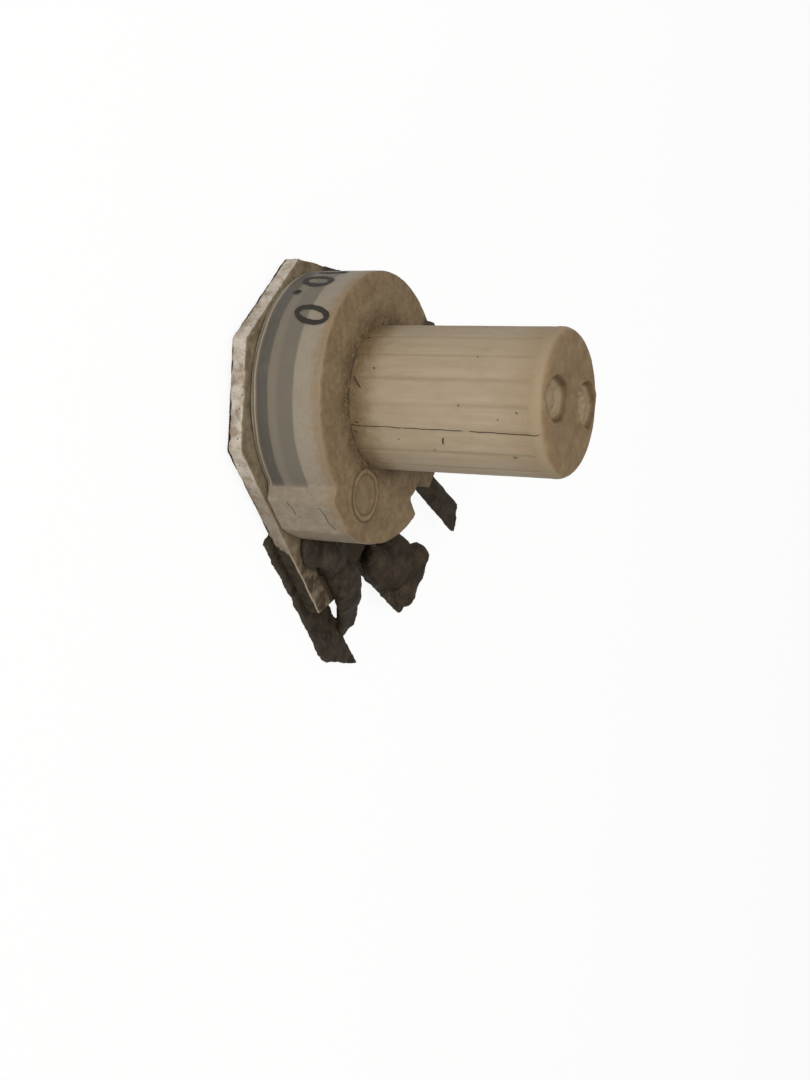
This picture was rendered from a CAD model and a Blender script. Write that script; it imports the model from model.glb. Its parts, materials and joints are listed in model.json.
"""Looks of a small multi-turn potentiometer with a fluted plastic spindle, built around its CAD frame."""
import json
import math

import bpy
import numpy as np
from mathutils import Matrix, Vector


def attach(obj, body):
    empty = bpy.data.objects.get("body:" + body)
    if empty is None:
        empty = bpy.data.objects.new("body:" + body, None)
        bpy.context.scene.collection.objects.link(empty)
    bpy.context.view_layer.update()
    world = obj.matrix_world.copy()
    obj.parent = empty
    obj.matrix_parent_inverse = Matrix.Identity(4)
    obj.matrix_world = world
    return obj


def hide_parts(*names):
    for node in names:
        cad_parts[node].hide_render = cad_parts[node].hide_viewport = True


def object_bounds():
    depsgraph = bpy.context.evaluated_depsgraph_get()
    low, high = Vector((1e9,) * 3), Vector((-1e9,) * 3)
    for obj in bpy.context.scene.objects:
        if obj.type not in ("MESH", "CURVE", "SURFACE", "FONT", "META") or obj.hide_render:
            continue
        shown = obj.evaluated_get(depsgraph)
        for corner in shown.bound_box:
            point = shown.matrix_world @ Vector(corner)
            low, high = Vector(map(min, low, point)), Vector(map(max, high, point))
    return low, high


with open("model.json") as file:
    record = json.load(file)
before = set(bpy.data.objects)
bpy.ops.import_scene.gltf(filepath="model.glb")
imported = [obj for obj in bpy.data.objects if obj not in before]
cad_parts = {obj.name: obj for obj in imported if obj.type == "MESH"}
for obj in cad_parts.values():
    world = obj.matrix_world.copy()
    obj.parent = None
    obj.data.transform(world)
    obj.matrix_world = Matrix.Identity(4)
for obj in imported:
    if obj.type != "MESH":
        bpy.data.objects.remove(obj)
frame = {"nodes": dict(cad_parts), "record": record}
cad_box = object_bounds()

MM = 0.001
SLOTS = {part["node"]: part["material_slot"] for part in frame["record"]["subparts"]}

# Sizes of the frame, in millimetres
BASE_Z = -5.05
PLATE_FRONT_Z = -5.09
PLATE_BACK_Z = -6.19
PLATE_MIDDLE_Z = (PLATE_FRONT_Z + PLATE_BACK_Z) / 2
HOUSING_RADIUS = 8.0
SPINDLE_RADIUS = 4.6
SPINDLE_LENGTH = 12.8
SPINDLE_ROUNDING = 0.75
FLUTE_COUNT = 18
FLUTE_PHASE = math.radians(2.5)
FLUTE_HALF_WIDTH = 0.13
FLUTE_DEPTH = 0.07
FLUTE_END = SPINDLE_LENGTH - 0.9
DIMPLES = ((-1.75, 1.85), (1.70, -1.65))
DIMPLE_RADIUS = 1.5
CRACK_ANGLE = math.radians(160.2)
RING_X = 5.75                 # centres of the two moulded rings, one on each side
RING_Y = -3.1
BLOCK_CRACK_RADIUS = 9.45     # how far from the axis the cracks in the block lie
HOUSING_VOXEL = 0.13
PLATE_VOXEL = 0.12
TERMINAL_VOXEL = 0.10

# Sizes of the studio, in metres
HALF_FLOOR = 0.9
LIGHT_DISTANCE = 0.35


# ---- noise over numpy arrays ---------------------------------------------------------------------
def hash_values(ix, iy, iz, seed):
    h = ix * 374761393 + iy * 668265263 + iz * 2147483647 + seed * 1274126177
    h = (h ^ (h >> 13)) * 1274126177
    return ((h ^ (h >> 16)) & 0xFFFFFF) / float(0xFFFFFF)


def value_noise(points, seed=0):
    """Smooth noise from -1 to 1 at each point."""
    cell = np.floor(points).astype(np.int64)
    f = points - cell
    f = f * f * (3 - 2 * f)
    total = np.zeros(len(points))
    for dx in (0, 1):
        for dy in (0, 1):
            for dz in (0, 1):
                weight = (
                    (f[:, 0] if dx else 1 - f[:, 0])
                    * (f[:, 1] if dy else 1 - f[:, 1])
                    * (f[:, 2] if dz else 1 - f[:, 2])
                )
                total += weight * hash_values(cell[:, 0] + dx, cell[:, 1] + dy, cell[:, 2] + dz, seed)
    return 2 * total - 1


def fbm(points, octaves=3, seed=0):
    """Layers of value noise, each half as strong and twice as fine as the one before."""
    total, size = np.zeros(len(points)), 1.0
    for octave in range(octaves):
        total += size * value_noise(points * 2**octave + 17.3 * octave, seed + octave)
        size *= 0.5
    return total / 1.75


def smooth(value, low, high):
    """0 below low, rising smoothly to 1 at high."""
    t = np.clip((value - low) / (high - low), 0, 1)
    return t * t * (3 - 2 * t)


# ---- meshes --------------------------------------------------------------------------------------
def arrays(mesh):
    points = np.empty(len(mesh.vertices) * 3)
    mesh.vertices.foreach_get("co", points)
    normals = np.empty(len(mesh.vertices) * 3)
    mesh.vertices.foreach_get("normal", normals)
    return points.reshape(-1, 3), normals.reshape(-1, 3)


def new_piece(name, mesh, body, material, replaced=()):
    """Makes a shown piece from a mesh in millimetres."""
    mesh.transform(Matrix.Scale(MM, 4))
    mesh.name = name
    for polygon in mesh.polygons:
        polygon.use_smooth = True
    obj = bpy.data.objects.new(name, mesh)
    bpy.context.scene.collection.objects.link(obj)
    mesh.materials.clear()
    mesh.materials.append(material)
    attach(obj, body)
    if replaced:
        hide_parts(*replaced)
    return obj


def scratch_object(mesh):
    obj = bpy.data.objects.new("scratch", mesh)
    bpy.context.scene.collection.objects.link(obj)
    return obj


def node_copy(node):
    """The node's mesh in millimetres."""
    mesh = frame["nodes"][node].data.copy()
    mesh.transform(Matrix.Scale(1 / MM, 4))
    return mesh


def blob(centre, radii, turn=(0, 0, 0)):
    """A rounded lump."""
    bpy.ops.mesh.primitive_ico_sphere_add(subdivisions=4, radius=1)
    obj = bpy.context.object
    mesh = obj.data
    matrix = Matrix.Translation(centre)
    for axis, angle in zip("XYZ", turn):
        matrix = matrix @ Matrix.Rotation(math.radians(angle), 4, axis)
    mesh.transform(matrix @ Matrix.Diagonal((*radii, 1)))
    bpy.data.objects.remove(obj)
    return mesh


def joined(meshes):
    """One mesh that holds every vertex and polygon of these."""
    vertices, faces = [], []
    for mesh in meshes:
        start = len(vertices)
        vertices += [tuple(v.co) for v in mesh.vertices]
        faces += [[start + i for i in p.vertices] for p in mesh.polygons]
    out = bpy.data.meshes.new("joined")
    out.from_pydata(vertices, [], faces)
    return out


def remeshed(mesh, voxel, smoothing=0):
    """The mesh rebuilt from voxels of this size and relaxed this many times."""
    obj = scratch_object(mesh)
    modifier = obj.modifiers.new("voxels", "REMESH")
    modifier.mode = "VOXEL"
    modifier.voxel_size = voxel
    if smoothing:
        relax = obj.modifiers.new("relax", "SMOOTH")
        relax.factor = 0.5
        relax.iterations = smoothing
    evaluated = obj.evaluated_get(bpy.context.evaluated_depsgraph_get())
    out = bpy.data.meshes.new_from_object(evaluated)
    bpy.data.objects.remove(obj)
    return out


def displace(mesh, amount):
    """Moves each vertex along its normal by amount(points, normals)."""
    points, normals = arrays(mesh)
    points = points + normals * amount(points, normals)[:, None]
    mesh.vertices.foreach_set("co", points.ravel())
    mesh.update()
    return mesh


def paint(mesh, name, values):
    """Stores a value from 0 to 1 at each vertex, for a material to read."""
    attribute = mesh.attributes.new(name, "FLOAT", "POINT")
    attribute.data.foreach_set("value", np.clip(values, 0, 1).astype(np.float32))


# ---- shader building -----------------------------------------------------------------------------
class Shader:
    """A material whose nodes work in millimetres on the object's own coordinates."""

    def __init__(self, name):
        self.material = bpy.data.materials.new(name)
        self.material.use_nodes = True
        self.tree = self.material.node_tree
        self.tree.nodes.clear()
        self.output = self.node("ShaderNodeOutputMaterial")
        self.bsdf = self.node("ShaderNodeBsdfPrincipled")
        self.tree.links.new(self.bsdf.outputs[0], self.output.inputs[0])
        coordinates = self.node("ShaderNodeTexCoord")
        scale = self.node("ShaderNodeVectorMath", operation="SCALE")
        self.link(coordinates.outputs["Object"], scale.inputs[0])
        scale.inputs["Scale"].default_value = 1 / MM
        self.position = scale.outputs[0]
        split = self.node("ShaderNodeSeparateXYZ")
        self.link(self.position, split.inputs[0])
        self.x, self.y, self.z = split.outputs[:3]
        normal = self.node("ShaderNodeSeparateXYZ")
        self.link(coordinates.outputs["Normal"], normal.inputs[0])
        self.nx, self.ny, self.nz = normal.outputs[:3]

    def node(self, kind, **settings):
        node = self.tree.nodes.new(kind)
        for key, value in settings.items():
            setattr(node, key, value)
        return node

    def link(self, value, socket):
        if isinstance(value, bpy.types.NodeSocket):
            self.tree.links.new(value, socket)
        elif isinstance(value, (tuple, list)) and len(value) == 3 and socket.type == "RGBA":
            socket.default_value = (*value, 1)
        else:
            socket.default_value = value

    def math(self, operation, a, b=0.0, c=None):
        node = self.node("ShaderNodeMath", operation=operation)
        self.link(a, node.inputs[0])
        self.link(b, node.inputs[1])
        if c is not None:
            self.link(c, node.inputs[2])
        return node.outputs[0]

    def hypot(self, x, y):
        squares = self.math("ADD", self.math("MULTIPLY", x, x), self.math("MULTIPLY", y, y))
        return self.math("SQRT", squares)

    def step(self, value, low, high, top=1.0):
        """0 below low, rising smoothly to top at high."""
        node = self.node("ShaderNodeMapRange", interpolation_type="SMOOTHSTEP")
        self.link(value, node.inputs["Value"])
        self.link(low, node.inputs["From Min"])
        self.link(high, node.inputs["From Max"])
        node.inputs["To Max"].default_value = top
        return node.outputs[0]

    def band(self, value, centre, half, soft):
        """1 within half of centre, falling to 0 over soft."""
        away = self.math("ABSOLUTE", self.math("SUBTRACT", value, centre))
        return self.math("SUBTRACT", 1.0, self.step(away, half, half + soft))

    def noise(self, scale, detail=3.0, roughness=0.6, stretch=None):
        """Noise from 0 to 1 with this many cells to the millimetre."""
        vector = self.position
        if stretch:
            mult = self.node("ShaderNodeVectorMath", operation="MULTIPLY")
            self.link(vector, mult.inputs[0])
            mult.inputs[1].default_value = stretch
            vector = mult.outputs[0]
        node = self.node("ShaderNodeTexNoise")
        self.link(vector, node.inputs["Vector"])
        node.inputs["Scale"].default_value = scale
        node.inputs["Detail"].default_value = detail
        node.inputs["Roughness"].default_value = roughness
        return node.outputs[0]

    def cells(self, scale):
        """Distance to the nearest of scattered points, this many to the millimetre."""
        node = self.node("ShaderNodeTexVoronoi")
        self.link(self.position, node.inputs["Vector"])
        node.inputs["Scale"].default_value = scale
        return node.outputs["Distance"]

    def mix(self, factor, a, b):
        node = self.node("ShaderNodeMix", data_type="RGBA")
        self.link(factor, node.inputs[0])
        self.link(a, node.inputs[6])
        self.link(b, node.inputs[7])
        return node.outputs[2]

    def attribute(self, name):
        node = self.node("ShaderNodeAttribute", attribute_name=name)
        return node.outputs["Fac"]

    def bump(self, height, distance, strength=1.0):
        node = self.node("ShaderNodeBump")
        node.inputs["Strength"].default_value = strength
        node.inputs["Distance"].default_value = distance * MM
        self.link(height, node.inputs["Height"])
        return node.outputs[0]

    def finish(self, colour, rough=0.5, normal=None, **inputs):
        self.link(colour, self.bsdf.inputs["Base Color"])
        self.link(rough, self.bsdf.inputs["Roughness"])
        if normal is not None:
            self.link(normal, self.bsdf.inputs["Normal"])
        for key, value in inputs.items():
            self.link(value, self.bsdf.inputs[key.replace("_", " ")])
        return self.material


def tone(red, green, blue):
    """A colour given in display levels, as the linear values that shaders take."""
    levels = (red, green, blue)
    return tuple(((v / 255 + 0.055) / 1.055) ** 2.4 if v > 10 else v / 255 / 12.92 for v in levels)


def plain_material(name, colour, darker, rough=0.5, metallic=0.0, scale=2.0):
    s = Shader(name)
    blotch = s.step(s.noise(scale, 4.0), 0.35, 0.7)
    fine = s.noise(scale * 8, 3.0)
    col = s.mix(blotch, tone(*colour), tone(*darker))
    return s.finish(
        col,
        s.math("MULTIPLY_ADD", fine, 0.3, rough - 0.15),
        s.bump(fine, 0.02, 0.5),
        Metallic=metallic,
    )


# ---- materials of the outside --------------------------------------------------------------------
def plate_material():
    s = Shader("laminate")
    blotch = s.noise(0.45, 5.0)
    medium = s.noise(1.6, 5.0)
    grain = s.noise(9.0, 4.0, 0.7)
    fine = s.noise(22.0, 2.0, 0.7)
    # faces: tan paper laminate under brown grime
    face = s.mix(s.step(medium, 0.3, 0.75), tone(150, 136, 112), tone(112, 96, 74))
    face = s.mix(s.step(blotch, 0.4, 0.7, 0.6), face, tone(92, 76, 54))
    # cut edges: pale, chipped, with dark specks and a dark line along the back
    edge_on = s.math("SUBTRACT", 1.0, s.step(s.math("ABSOLUTE", s.nz), 0.45, 0.8))
    pale = s.mix(s.step(medium, 0.3, 0.75), tone(214, 205, 193), tone(176, 162, 145))
    lower = s.step(s.math("MULTIPLY", s.y, -1.0), -2.0, 1.5, 0.75)
    pale = s.mix(lower, pale, tone(138, 124, 108))
    pale = s.mix(s.step(grain, 0.52, 0.72, 0.45), pale, tone(120, 104, 86))
    pale = s.mix(s.step(s.noise(0.8, 4.0), 0.48, 0.68, 0.6), pale, tone(142, 124, 102))
    specks = s.step(s.cells(2.6), 0.16, 0.10)
    specks = s.math("MULTIPLY", specks, s.step(s.noise(0.9, 2.0), 0.42, 0.5))
    pale = s.mix(specks, pale, tone(38, 32, 26))
    back_line = s.band(
        s.math("ADD", s.z, s.math("MULTIPLY_ADD", s.noise(1.3, 3.0), 0.2, -0.1)),
        PLATE_BACK_Z + 0.10, 0.05, 0.07,
    )
    back_line = s.math("MULTIPLY", back_line, s.step(s.noise(0.6, 2.0), 0.36, 0.48))
    pale = s.mix(back_line, pale, tone(50, 42, 32))
    # the lower side legs are dark greenish with old flux
    slant = s.math("MULTIPLY_ADD", s.math("ADD", s.z, -PLATE_MIDDLE_Z), -0.9, s.math("MULTIPLY", s.y, -1.0))
    leg = s.step(s.math("ADD", slant, s.math("MULTIPLY_ADD", medium, 0.8, -0.4)), 5.5, 5.8)
    front_lip = s.step(s.z, PLATE_FRONT_Z - 0.20, PLATE_FRONT_Z - 0.12)
    dark = s.mix(s.step(medium, 0.35, 0.7), tone(66, 57, 42), tone(44, 40, 30))
    dark = s.mix(front_lip, dark, tone(176, 160, 138))
    pale = s.mix(leg, pale, dark)
    colour = s.mix(edge_on, face, pale)
    # grime gathers on the front face close to the housing and in the slots
    near_slots = s.step(s.math("MULTIPLY", s.y, -1.0), 5.0, 8.5, 0.8)
    near_slots = s.math("MULTIPLY", near_slots, s.step(s.noise(0.8, 4.0), 0.35, 0.6))
    near_slots = s.math("MULTIPLY", near_slots, s.math("SUBTRACT", 1.0, edge_on))
    shade = s.math("MULTIPLY", s.step(s.math("MULTIPLY", s.y, -1.0), 6.6, 7.6), s.step(s.x, -7.7, -7.2))
    near_slots = s.math("MAXIMUM", near_slots, s.math("MULTIPLY", shade, 0.92))
    near_slots = s.math("MAXIMUM", near_slots, s.step(s.x, 5.0, 6.5, 0.9))
    colour = s.mix(near_slots, colour, tone(56, 45, 32))
    height = s.math("MULTIPLY_ADD", grain, 0.7, s.math("MULTIPLY", fine, 0.5))
    return s.finish(colour, 0.78, s.bump(height, 0.10, 0.9), Specular_IOR_Level=0.3)


def housing_material():
    s = Shader("nylon")
    radius = s.hypot(s.x, s.y)
    cloudy = s.noise(0.5, 4.0)
    medium = s.noise(2.0, 5.0)
    grain = s.noise(10.0, 4.0, 0.7)
    fine = s.noise(26.0, 2.0)
    wobble = s.math("MULTIPLY_ADD", s.noise(0.35, 2.0), 0.24, -0.12)
    h = s.math("ADD", s.math("SUBTRACT", s.z, BASE_Z), wobble)
    # the drum's side shows what is behind it as soft bands
    side = s.mix(s.step(h, 0.42, 0.58), tone(118, 108, 94), tone(84, 82, 76))
    side = s.mix(s.step(h, 1.2, 1.38), side, tone(122, 115, 102))
    side = s.mix(s.step(h, 1.7, 2.1, 0.55), side, tone(100, 95, 87))
    side = s.mix(s.step(h, 2.95, 3.15), side, tone(150, 140, 124))
    side = s.mix(s.step(h, 4.2, 4.9, 0.5), side, tone(134, 121, 102))
    lip = s.math("MAXIMUM", s.band(h, 0.12, 0.03, 0.05), s.band(h, 0.36, 0.02, 0.04))
    side = s.mix(s.math("MULTIPLY", lip, 0.55), side, tone(196, 188, 172))
    side = s.mix(s.step(cloudy, 0.4, 0.75, 0.25), side, tone(124, 112, 95))
    # the moulded blocks are solid and paler
    block = s.step(radius, 8.03, 8.2)
    low = s.step(s.math("MULTIPLY", s.y, -1.0), -0.3, 0.3)
    block_col = s.mix(s.step(medium, 0.3, 0.7), tone(152, 141, 124), tone(136, 124, 106))
    block_col = s.mix(s.step(s.math("MULTIPLY", s.y, -1.0), 4.5, 8.5, 0.75), block_col, tone(112, 98, 80))
    side = s.mix(s.math("MULTIPLY", block, low), side, block_col)
    # the front face is brown with ground-in dirt
    front_on = s.step(s.nz, 0.55, 0.85)
    front_on = s.math("MULTIPLY", front_on, s.step(s.z, -0.6, -0.3))
    face = s.mix(s.step(medium, 0.3, 0.72), tone(152, 131, 100), tone(134, 114, 86))
    face = s.mix(s.step(cloudy, 0.42, 0.68, 0.6), face, tone(120, 101, 75))
    near = s.math("SUBTRACT", 1.0, s.step(radius, 4.6, 6.3))
    near = s.math("MULTIPLY", near, s.step(grain, 0.32, 0.62))
    face = s.mix(near, face, tone(88, 70, 46))
    face = s.mix(s.step(grain, 0.55, 0.75, 0.6), face, tone(92, 74, 50))
    ring_x = s.math("SUBTRACT", s.math("ABSOLUTE", s.x), RING_X)
    ring_y = s.math("ADD", s.y, -RING_Y)
    ring = s.hypot(ring_x, ring_y)
    face = s.mix(s.math("MULTIPLY", s.band(ring, 1.72, 0.03, 0.1), 0.7), face, tone(84, 66, 44))
    face = s.mix(s.math("MULTIPLY", s.band(ring, 1.30, 0.03, 0.1), 0.6), face, tone(92, 74, 50))
    face = s.mix(s.math("MULTIPLY", s.band(ring, 1.5, 0.08, 0.06), 0.35), face, tone(170, 148, 116))
    colour = s.mix(front_on, side, face)
    # brown rim where dirt wraps over the edge
    rim = s.step(s.math("ADD", s.z, s.math("MULTIPLY_ADD", medium, 1.8, -0.9)), -1.1, -0.1, 0.85)
    colour = s.mix(s.math("MULTIPLY", rim, s.math("SUBTRACT", 1.0, front_on)), colour, tone(142, 120, 92))
    # the far block lies under the spindle and is black with grime
    far = s.math("MULTIPLY", s.step(s.x, 6.2, 7.2, 0.85), s.step(s.math("MULTIPLY", s.y, -1.0), -0.6, 0.2))
    colour = s.mix(far, colour, tone(62, 52, 40))
    # fine scratches and dust
    scratch = s.noise(1.0, 3.0, 0.8, stretch=(1.2, 1.2, 3.0))
    colour = s.mix(s.band(scratch, 0.5, 0.002, 0.003), colour, tone(112, 100, 84))
    dust = s.step(s.cells(1.6), 0.07, 0.04)
    colour = s.mix(s.math("MULTIPLY", dust, s.step(s.noise(0.6, 2.0), 0.5, 0.55)), colour, tone(60, 46, 30))
    coarse = s.math("MULTIPLY_ADD", front_on, 0.9, 0.12)
    height = s.math("MULTIPLY_ADD", grain, coarse, s.math("MULTIPLY", fine, 0.12))
    rough = s.math("MULTIPLY_ADD", front_on, 0.35, 0.42)
    return s.finish(
        colour, rough, s.bump(height, 0.12, 0.9), Subsurface_Weight=0.12, Subsurface_Scale=0.6 * MM,
        Specular_IOR_Level=0.35,
    )


def spindle_material():
    s = Shader("spindle_nylon")
    angle = s.math("ARCTAN2", s.y, s.x)
    medium = s.noise(1.5, 5.0, stretch=(1.0, 1.0, 0.35))
    streaks = s.noise(2.2, 4.0, stretch=(1.0, 1.0, 0.10))
    grain = s.noise(10.0, 4.0, 0.7)
    fine = s.noise(26.0, 2.0)
    colour = s.mix(s.step(streaks, 0.3, 0.72), tone(172, 157, 134), tone(164, 148, 124))
    colour = s.mix(s.step(medium, 0.42, 0.72, 0.4), colour, tone(154, 137, 112))
    colour = s.mix(s.step(grain, 0.56, 0.76, 0.25), colour, tone(142, 122, 96))
    # yellower and browner towards the end
    end = s.step(s.math("ADD", s.z, s.math("MULTIPLY", medium, 1.2)), 9.5, 13.0)
    colour = s.mix(s.math("MULTIPLY", end, 0.6), colour, tone(148, 127, 97))
    top = s.step(s.z, SPINDLE_LENGTH - 0.35, SPINDLE_LENGTH - 0.1)
    brown = s.mix(s.step(s.noise(1.2, 4.0), 0.3, 0.7), tone(146, 124, 93), tone(128, 105, 75))
    colour = s.mix(top, colour, brown)
    colour = s.mix(s.math("MULTIPLY", s.attribute("rim"), 0.7), colour, tone(80, 58, 34))
    # grime in the flutes and where the spindle leaves the housing
    colour = s.mix(s.math("MULTIPLY", s.attribute("flute"), 0.3), colour, tone(116, 97, 72))
    ragged = s.math("SUBTRACT", s.z, s.math("MULTIPLY", s.noise(1.4, 4.0), 1.8))
    foot = s.math("SUBTRACT", 1.0, s.step(ragged, -0.9, 1.5))
    stain = s.mix(s.step(grain, 0.35, 0.65), tone(136, 115, 84), tone(112, 91, 62))
    colour = s.mix(s.math("MULTIPLY", foot, 0.95), colour, stain)
    # one dark hairline along a flute
    drift = s.math("MULTIPLY_ADD", s.noise(0.8, 4.0, stretch=(0.2, 0.2, 1.0)), 0.05, -0.025)
    line_at = s.math("MULTIPLY_ADD", s.z, 0.0036, CRACK_ANGLE)
    line = s.band(s.math("ADD", s.math("SUBTRACT", angle, line_at), drift), 0.0, 0.0030, 0.005)
    line = s.math("MULTIPLY", line, s.step(s.z, 12.6, 12.2))
    line = s.math("MULTIPLY", line, s.step(s.noise(1.1, 3.0, stretch=(0.2, 0.2, 1.0)), 0.3, 0.42))
    colour = s.mix(line, colour, tone(46, 32, 18))
    height = s.math("MULTIPLY_ADD", grain, 0.35, s.math("MULTIPLY", fine, 0.2))
    height = s.math("MULTIPLY_ADD", s.math("MULTIPLY_ADD", top, 0.35, foot), grain, height)
    height = s.math("SUBTRACT", height, s.math("MULTIPLY", line, 0.8))
    return s.finish(
        colour, 0.55, s.bump(height, 0.08, 0.9), Subsurface_Weight=0.15, Subsurface_Scale=0.6 * MM,
        Specular_IOR_Level=0.35,
    )


def metal_material(name, light, dark, gloss=0.0):
    s = Shader(name)
    patches = s.noise(1.1, 5.0)
    grain = s.noise(7.0, 5.0, 0.7)
    fine = s.noise(24.0, 3.0)
    colour = s.mix(s.step(patches, 0.35, 0.68), tone(*light), tone(*dark))
    colour = s.mix(s.step(grain, 0.5, 0.72, 0.6), colour, tone(30, 24, 17))
    worn = s.step(s.noise(2.4, 4.0), 0.6, 0.74, 0.6)
    colour = s.mix(worn, colour, tone(96, 82, 64))
    rough = s.math("MULTIPLY_ADD", grain, 0.4, 0.38 - gloss)
    height = s.math("MULTIPLY_ADD", grain, 0.9, s.math("MULTIPLY", fine, 0.3))
    return s.finish(colour, rough, s.bump(height, 0.10, 0.8), Metallic=0.35, Specular_IOR_Level=0.4)


# ---- spindle -------------------------------------------------------------------------------------
def dimple_height(x, y):
    """How far the end face rises or sinks near the two dimples, with torn, raised rims."""
    height = np.zeros_like(x)
    rim = np.zeros_like(x)
    for index, (cx, cy) in enumerate(DIMPLES):
        turn = np.arctan2(y - cy, x - cx)
        ragged = 0.10 * np.sin(2 * turn + index) + 0.05 * np.sin(5 * turn + 2 * index)
        distance = np.hypot(x - cx, y - cy) + ragged
        height -= 0.40 * (1 - smooth(distance, DIMPLE_RADIUS - 0.32, DIMPLE_RADIUS))
        raised = np.exp(-(((distance - DIMPLE_RADIUS - 0.10) / 0.13) ** 2))
        height += 0.16 * raised * (0.6 + 0.4 * np.sin(2 * turn + 1))
        height += 0.12 * (1 - smooth(distance, 0.2, 0.8)) * (1 - 2 * index)
        height += 0.16 * np.exp(-(((distance - 0.75) / 0.16) ** 2)) * np.cos(turn - 2.4 + index * 2)
        rim += np.exp(-(((distance - DIMPLE_RADIUS + 0.10) / 0.13) ** 2))
        rim += 0.5 * np.exp(-(((distance - 0.95) / 0.1) ** 2)) * (np.cos(turn - 2.4 + index * 2) > 0)
    return height, rim


def spindle_mesh():
    columns, rows, rings = 480, 112, 40
    angles = np.arange(columns) * 2 * math.pi / columns
    profile = [(SPINDLE_RADIUS, z) for z in np.linspace(0, SPINDLE_LENGTH - SPINDLE_ROUNDING, rows)]
    corner = SPINDLE_RADIUS - SPINDLE_ROUNDING
    for step in range(1, 9):
        bend = math.pi / 2 * step / 8
        profile.append((
            corner + SPINDLE_ROUNDING * math.cos(bend),
            SPINDLE_LENGTH - SPINDLE_ROUNDING * (1 - math.sin(bend)),
        ))
    for step in range(1, rings):
        profile.append((corner * (1 - step / rings), SPINDLE_LENGTH))
    profile = np.array(profile)
    radius = np.repeat(profile[:, 0], columns)
    z = np.repeat(profile[:, 1], columns)
    angle = np.tile(angles, len(profile))
    side_on = smooth(radius, corner, SPINDLE_RADIUS - 0.02)

    pitch = 2 * math.pi / FLUTE_COUNT
    off = (angle - FLUTE_PHASE + pitch / 2) % pitch - pitch / 2
    across = off * SPINDLE_RADIUS
    groove = np.exp(-((across / FLUTE_HALF_WIDTH) ** 2)) * (1 - smooth(z, FLUTE_END - 0.25, FLUTE_END + 0.05))
    unit = np.stack([np.cos(angle), np.sin(angle), np.zeros_like(angle)], 1)
    where = unit * radius[:, None] + np.array([0, 0, 1]) * z[:, None]
    groove *= 0.55 + 0.45 * smooth(value_noise(where * [0.5, 0.5, 0.35], 5), -0.5, 0.4)
    facet = 0.03 * np.abs(off / pitch) * 2 * side_on
    radial = -FLUTE_DEPTH * groove - facet * (z < FLUTE_END)
    radial += side_on * (0.02 * fbm(where * [0.9, 0.9, 0.3], 3, 11) + 0.008 * fbm(where * 5, 2, 12))
    foot = (1 - smooth(z, 0.0, 0.9)) * side_on
    radial += foot * 0.05 * fbm(where * 3.0, 3, 13)
    rise, rim = dimple_height(where[:, 0], where[:, 1])
    on_end = 1 - smooth(radius, corner - 0.1, corner + 0.45)
    lift = on_end * (rise + 0.06 * fbm(where * 1.9, 3, 14)) + (1 - side_on) * 0.02 * fbm(where * 1.2, 2, 15)
    points = where + unit * radial[:, None]
    points[:, 2] += lift
    count = len(profile)
    vertices = [tuple(p) for p in points] + [(0, 0, SPINDLE_LENGTH + float(lift[-columns:].mean()))]
    faces = []
    for row in range(count - 1):
        a = row * columns
        b = a + columns
        for i in range(columns):
            j = (i + 1) % columns
            faces.append((a + i, a + j, b + j, b + i))
    last = (count - 1) * columns
    faces += [(last + i, last + (i + 1) % columns, len(vertices) - 1) for i in range(columns)]
    shape_count = len(vertices)

    inner = node_copy("spindle")
    kept = [p for p in inner.polygons if all(inner.vertices[i].co.z < 0.001 for i in p.vertices)]
    vertices += [tuple(v.co) for v in inner.vertices]
    faces += [[shape_count + i for i in p.vertices] for p in kept]
    mesh = bpy.data.meshes.new("spindle_shape")
    mesh.from_pydata(vertices, [], faces)
    rest = np.zeros(len(vertices) - shape_count + 1)
    paint(mesh, "flute", np.concatenate([groove, rest]))
    paint(mesh, "rim", np.concatenate([rim * on_end, rest]))
    return mesh


# ---- housing, plate and terminals ----------------------------------------------------------------
def housing_mesh():
    mesh = remeshed(node_copy("housing"), HOUSING_VOXEL, 4)

    def amount(p, n):
        outside = smooth(np.hypot(p[:, 0], p[:, 1]), 7.6, 7.9)
        face = smooth(n[:, 2], 0.5, 0.9) * smooth(p[:, 2], -0.5, -0.2)
        shown = np.maximum(outside, face)
        out = shown * 0.012 * fbm(p * 1.2, 3, 21)
        out += face * 0.045 * fbm(p * 2.6, 3, 22)
        near = 1 - smooth(np.hypot(p[:, 0], p[:, 1]), 4.8, 6.0)
        out += face * near * 0.18 * np.clip(fbm(p * 2.6, 3, 23), -0.2, 1)
        block = smooth(np.hypot(p[:, 0], p[:, 1]), 8.1, 8.4)
        out += block * 0.05 * fbm(p * 1.6, 3, 24)
        return out

    return displace(mesh, amount)


def plate_mesh():
    mesh = remeshed(node_copy("base_plate"), PLATE_VOXEL, 1)

    def amount(p, n):
        edge = 1 - smooth(np.abs(n[:, 2]), 0.3, 0.9)
        out = 0.012 * fbm(p * 1.5, 3, 31)
        out += edge * 0.09 * fbm(p * [1.6, 1.6, 2.6], 3, 32)
        chips = smooth(fbm(p * 1.3, 2, 33), 0.25, 0.6)
        corner = np.minimum(np.abs(p[:, 2] - PLATE_BACK_Z), np.abs(p[:, 2] - PLATE_FRONT_Z))
        out -= edge * chips * 0.2 * (1 - smooth(corner, 0.05, 0.4))
        return out

    return displace(mesh, amount)


def narrowed(mesh):
    """The middle strip with its far edge eaten away next to the housing."""
    far_side, lowest, torn_edge = 2.0, -15.0, -0.4
    for vertex in mesh.vertices:
        if vertex.co.x > far_side and vertex.co.y > lowest:
            vertex.co.x = torn_edge
    return mesh


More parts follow.
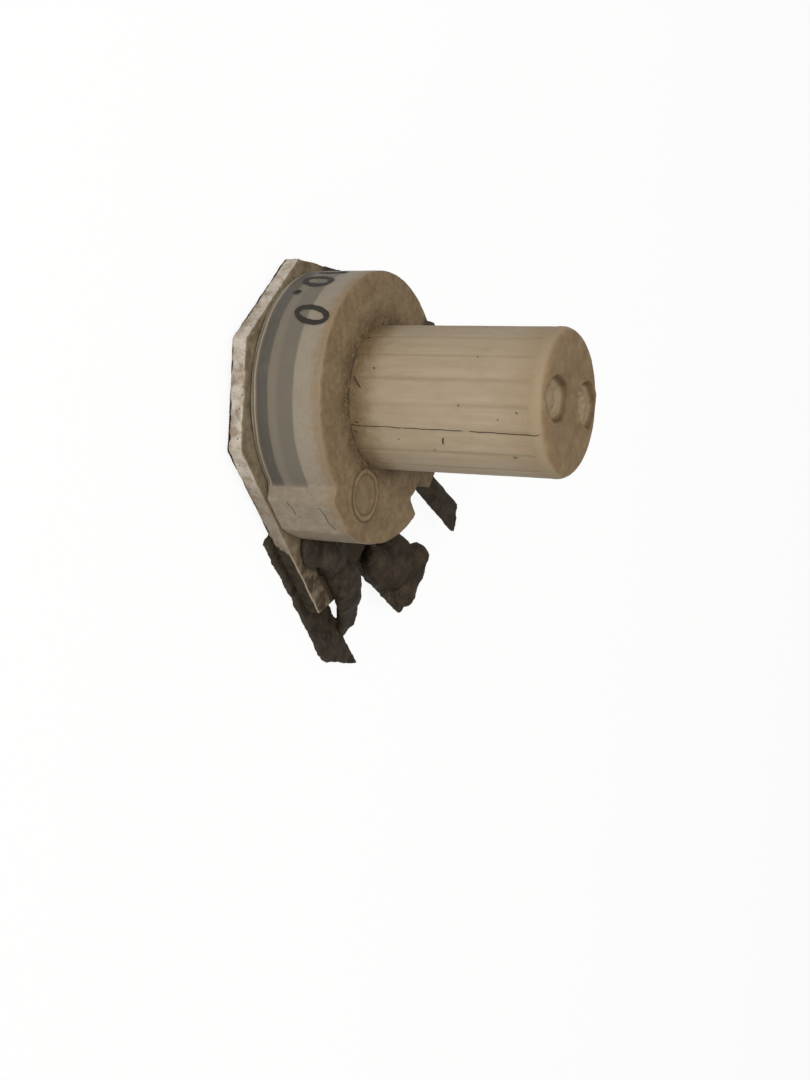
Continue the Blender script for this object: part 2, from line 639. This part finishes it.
def lumpy(meshes, size, seed, scale=1.5):
    """These meshes grown together, with an uneven surface up to about this size."""
    mesh = remeshed(joined(meshes), TERMINAL_VOXEL, 9)
    return displace(
        mesh, lambda p, n: size * fbm(p * scale, 3, seed) + 0.3 * size * fbm(p * scale * 4, 2, seed + 5)
    )


new_piece("plate_shape", plate_mesh(), "root", plate_material(), ["base_plate"])
new_piece("housing_shape", housing_mesh(), "root", housing_material(), ["housing"])
new_piece("spindle_shape", spindle_mesh(), "spindle", spindle_material(), ["spindle"])

tarnish = metal_material("terminal_metal", (74, 64, 51), (48, 39, 29))
dull_solder = metal_material("solder", (72, 60, 45), (48, 38, 27), 0.06)

new_piece(
    "terminal_left_shape",
    lumpy(
        [
            node_copy("terminal_left"),
            node_copy("solder_left"),
            blob((-5.9, -8.9, -4.5), (1.5, 1.5, 0.8)),
            blob((-5.7, -12.6, -4.6), (1.5, 2.4, 0.75), (14, 0, 0)),
            blob((-5.6, -15.1, -5.6), (1.2, 1.5, 0.6), (10, 0, 0)),
            blob((-7.2, -7.2, -4.7), (1.2, 1.4, 0.5)),
        ],
        0.14, 41,
    ),
    "root", tarnish, ["terminal_left", "solder_left"],
)
new_piece(
    "terminal_middle_shape",
    lumpy(
        [
            narrowed(node_copy("terminal_middle")),
            node_copy("solder_middle"),
            blob((-1.5, -14.9, -4.7), (1.3, 1.9, 1.0)),
            blob((0.7, -17.5, -3.9), (1.7, 1.4, 0.9)),
            blob((-0.6, -18.3, -4.1), (1.3, 1.1, 0.8)),
            blob((1.7, -17.0, -3.7), (1.0, 1.0, 0.9)),
        ],
        0.16, 42,
    ),
    "root", dull_solder, ["terminal_middle", "solder_middle"],
)
new_piece(
    "terminal_right_shape",
    lumpy(
        [
            node_copy("terminal_right"),
            node_copy("solder_right"),
            blob((8.1, -17.4, -4.55), (0.95, 1.9, 0.35), (-22, 0, 0)),
            blob((8.5, -14.2, -6.1), (1.0, 2.4, 0.4)),
        ],
        0.07, 43,
    ),
    "root", tarnish, ["terminal_right", "solder_right"],
)

# ---- materials of the inner pieces ---------------------------------------------------------------
inner_materials = {
    "steel": plain_material("steel", (176, 174, 168), (140, 136, 128), 0.32, 0.9),
    "gear_plastic": plain_material("gear_plastic", (222, 218, 206), (204, 198, 182), 0.45),
    "spring_bronze": plain_material("spring_bronze", (196, 150, 92), (160, 112, 62), 0.3, 0.9),
    "contact_carbon": plain_material("contact_carbon", (52, 50, 48), (36, 34, 32), 0.6),
    "track_carbon": plain_material("track_carbon", (48, 46, 44), (34, 32, 30), 0.55),
    "silver_print": plain_material("silver_print", (196, 194, 188), (168, 164, 156), 0.4, 0.6),
}
for name, node in frame["nodes"].items():
    if SLOTS[name] in inner_materials:
        node.data.materials.clear()
        node.data.materials.append(inner_materials[SLOTS[name]])


# ---- ink number on the drum ----------------------------------------------------------------------
def ink_strokes(name, strokes, width, surface=HOUSING_RADIUS, lift=0.035):
    """Strokes drawn on a round surface as (angle in degrees, height in millimetres) points."""
    vertices, faces = [], []
    for number, stroke in enumerate(strokes):
        path = np.array(stroke, float)
        lengths = np.concatenate([[0], np.cumsum(np.hypot(
            np.diff(path[:, 0]) * math.pi / 180 * surface, np.diff(path[:, 1])))])
        count = max(8, int(lengths[-1] / 0.06))
        at = np.linspace(0, lengths[-1], count)
        along = np.interp(at, lengths, np.radians(path[:, 0])) * surface
        up = np.interp(at, lengths, path[:, 1])
        kernel = np.ones(5) / 5
        along = np.convolve(np.pad(along, 2, "edge"), kernel, "valid")
        up = np.convolve(np.pad(up, 2, "edge"), kernel, "valid")
        side = np.stack([-np.gradient(up), np.gradient(along)], 1)
        side /= np.linalg.norm(side, axis=1)[:, None] + 1e-9
        probe = np.stack([along * 4, up * 4, np.full(count, number * 7.0)], 1)
        half = width / 2 * (1 + 0.35 * fbm(probe, 2, 51)) * np.minimum(1, 0.55 + np.minimum(at, at[::-1]) * 4)
        start = len(vertices)
        for i in range(count):
            for sign in (-1, 1):
                u = (along[i] + sign * half[i] * side[i, 0]) / surface
                z = up[i] + sign * half[i] * side[i, 1]
                r = surface + lift
                vertices.append((r * math.cos(u), r * math.sin(u), z))
        faces += [
            (start + 2 * i, start + 2 * i + 1, start + 2 * i + 3, start + 2 * i + 2) for i in range(count - 1)
        ]
    mesh = bpy.data.meshes.new(name)
    mesh.from_pydata(vertices, [], faces)
    return mesh


def oval(angle, height, half_angle, half_height, lean=0.0, turns=1.04):
    """A stroke that closes on itself, for the figure 0."""
    points = []
    for step in range(41):
        t = 2 * math.pi * turns * step / 40 + 0.6
        z = half_height * math.cos(t)
        points.append((angle + half_angle * math.sin(t) + lean * z, height + z))
    return points


ink = plain_material("ink", (26, 22, 18), (44, 38, 30), 0.55, 0.0, 5.0)
digits = [
    oval(100.5, -1.75, 4.0, 1.12, 1.6),
    [(84.6, -3.85), (86.6, -3.70), (86.0, -3.50), (84.9, -3.62), (85.8, -3.74)],
    oval(75.5, -2.9, 4.2, 0.95, 1.0),
    [(63.5, -3.8), (63.0, -1.9), (60.5, -2.5)],
]
new_piece("ink_number", ink_strokes("ink_number", digits, 0.36), "root", ink)

grime = plain_material("grime", (52, 40, 26), (78, 62, 42), 0.8, 0.0, 6.0)
specks = [
    [(85.0, 0.15), (86.5, 0.45)],
    [(122.0, 0.20), (126.5, 0.45), (131.5, 0.80)],
    [(167.0, 6.25), (170.5, 6.10), (174.2, 6.10)],
    [(103.6, 8.15), (104.6, 8.25)],
    [(141.2, 7.35), (142.6, 7.45)],
    [(178.0, 5.40), (180.0, 5.45)],
    [(183.0, 10.45), (184.0, 10.75)],
    [(145.6, 11.05), (146.6, 11.2)],
    [(164.0, 0.15), (166.5, 0.35)],
    [(157.0, 0.30), (158.0, 0.60)],
    [(115.0, 1.40), (115.8, 1.60)],
    [(151.0, 9.9), (152.2, 9.95)],
    [(170.0, 3.1), (171.0, 3.2)],
]
new_piece("spindle_specks", ink_strokes("spindle_specks", specks, 0.09, SPINDLE_RADIUS, 0.03), "spindle",
          grime)
cracks = [
    [(183.5, -0.75), (188.0, -0.62), (193.0, -0.72), (198.8, -0.60)],
    [(181.0, -2.9), (186.0, -2.7), (189.0, -2.8)],
]
new_piece("block_cracks", ink_strokes("block_cracks", cracks, 0.07, BLOCK_CRACK_RADIUS, 0.05), "root",
          grime)

# ---- floor, light and camera ---------------------------------------------------------------------
floor_z = cad_box[0].z - 0.05 * MM
floor_mesh = bpy.data.meshes.new("floor")
floor_mesh.from_pydata(
    [(x * HALF_FLOOR, y * HALF_FLOOR, floor_z) for x, y in ((-1, -1), (1, -1), (1, 1), (-1, 1))],
    [], [(0, 1, 2, 3)],
)
floor = bpy.data.objects.new("floor", floor_mesh)
bpy.context.scene.collection.objects.link(floor)
floor_material = bpy.data.materials.new("floor")
floor_material.use_nodes = True
tree = floor_material.node_tree
tree.nodes.clear()
out = tree.nodes.new("ShaderNodeOutputMaterial")
lit = tree.nodes.new("ShaderNodeBsdfDiffuse")
lit.inputs["Color"].default_value = (0.80, 0.80, 0.80, 1)
glow = tree.nodes.new("ShaderNodeEmission")
glow.inputs["Color"].default_value = (1, 1, 1, 1)
glow.inputs["Strength"].default_value = 1.06
blend = tree.nodes.new("ShaderNodeMixShader")
path = tree.nodes.new("ShaderNodeLightPath")
seen = tree.nodes.new("ShaderNodeMath")
seen.operation = "MAXIMUM"
tree.links.new(path.outputs["Is Camera Ray"], seen.inputs[0])
tree.links.new(path.outputs["Is Transmission Ray"], seen.inputs[1])
share = tree.nodes.new("ShaderNodeMath")
share.operation = "MULTIPLY"
share.inputs[1].default_value = 0.85
tree.links.new(seen.outputs[0], share.inputs[0])
tree.links.new(share.outputs[0], blend.inputs[0])
tree.links.new(lit.outputs[0], blend.inputs[1])
tree.links.new(glow.outputs[0], blend.inputs[2])
tree.links.new(blend.outputs[0], out.inputs[0])
floor_mesh.materials.append(floor_material)

world = bpy.data.worlds.new("studio")
bpy.context.scene.world = world
world.use_nodes = True
world.node_tree.nodes["Background"].inputs["Color"].default_value = (1.0, 0.98, 0.95, 1)
world.node_tree.nodes["Background"].inputs["Strength"].default_value = 0.36

CAMERA_AT = Vector((-63.93, 58.01, 45.80)) * MM
FORWARD = Vector((0.5946, -0.6649, -0.4521))
UP = Vector((0.7193, 0.6911, -0.0702))
RIGHT = FORWARD.cross(UP).normalized()


def soft_light(name, direction, size, energy, colour):
    light = bpy.data.lights.new(name, "AREA")
    light.shape = "DISK"
    light.size = size
    light.energy = energy
    light.color = colour
    obj = bpy.data.objects.new(name, light)
    bpy.context.scene.collection.objects.link(obj)
    place = Vector(direction).normalized() * LIGHT_DISTANCE
    obj.location = place
    obj.rotation_euler = (-place).to_track_quat("-Z", "Y").to_euler()


soft_light("key", (-0.55, 0.75, 0.8), 0.22, 0.80, (1.0, 0.97, 0.92))
soft_light("left", (-1.0, 0.1, 0.25), 0.25, 0.14, (1.0, 0.98, 0.95))

camera_data = bpy.data.cameras.new("camera")
camera_data.lens = 50.73
camera_data.sensor_width = 36.0
camera_data.clip_start = 0.005
camera_data.clip_end = 10.0
camera = bpy.data.objects.new("camera", camera_data)
bpy.context.scene.collection.objects.link(camera)
true_up = RIGHT.cross(FORWARD).normalized()
camera.matrix_world = Matrix.Translation(CAMERA_AT) @ Matrix(
    ((RIGHT.x, true_up.x, -FORWARD.x), (RIGHT.y, true_up.y, -FORWARD.y), (RIGHT.z, true_up.z, -FORWARD.z))
).to_4x4()
bpy.context.scene.camera = camera

bpy.context.scene.view_settings.view_transform = "Standard"
